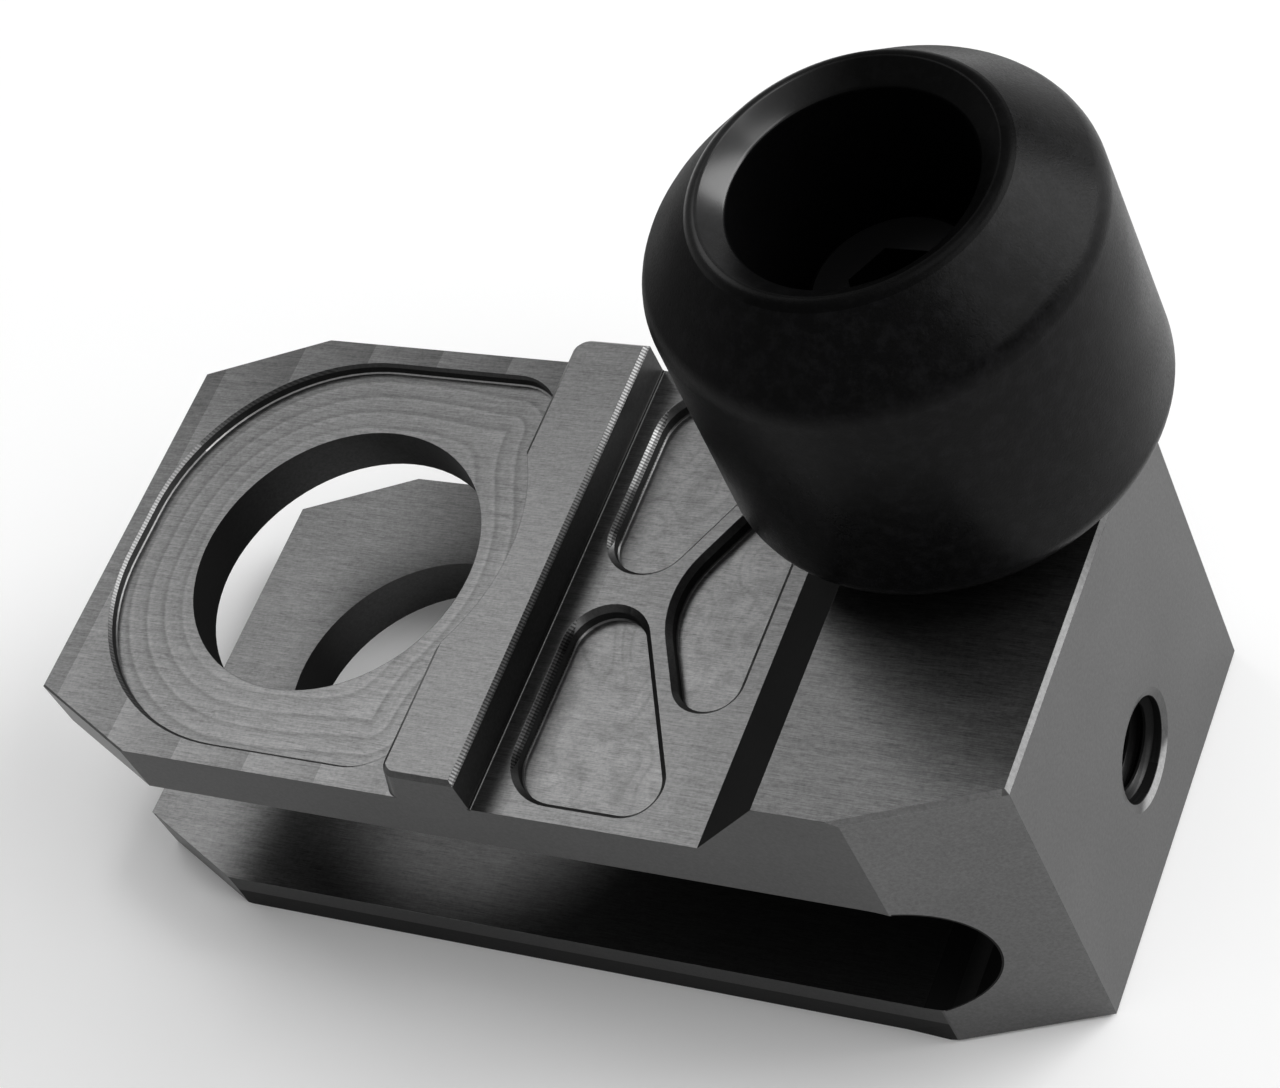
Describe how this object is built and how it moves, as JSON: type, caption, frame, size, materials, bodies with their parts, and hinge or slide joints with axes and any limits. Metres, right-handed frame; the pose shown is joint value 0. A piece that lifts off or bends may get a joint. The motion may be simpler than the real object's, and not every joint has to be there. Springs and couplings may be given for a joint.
{
  "type": "motorcycle chain adjuster",
  "caption": "Milled chain adjuster block with axle ears, swingarm slot, tapped closed end and a bolted slider puck.",
  "frame": {"origin": "on the axle bore's axis, at the underside of the lower ear", "axes": "+X from the axle towards the closed end, +Z along the axle towards the puck, +Y towards the side that the puck overhangs"},
  "size_m": [0.0896, 0.049, 0.0606],
  "materials": {
    "anodised_billet": "milled, then anodised dark grey",
    "black_acetal": "turned, matte black",
    "washer_steel": "black zinc plated",
    "screw_steel": "black oxide"
  },
  "bodies": {
    "root": {"axle_block": "anodised_billet", "slider_puck": "black_acetal", "puck_washer": "washer_steel", "puck_screw": "screw_steel"}
  },
  "joints": []
}
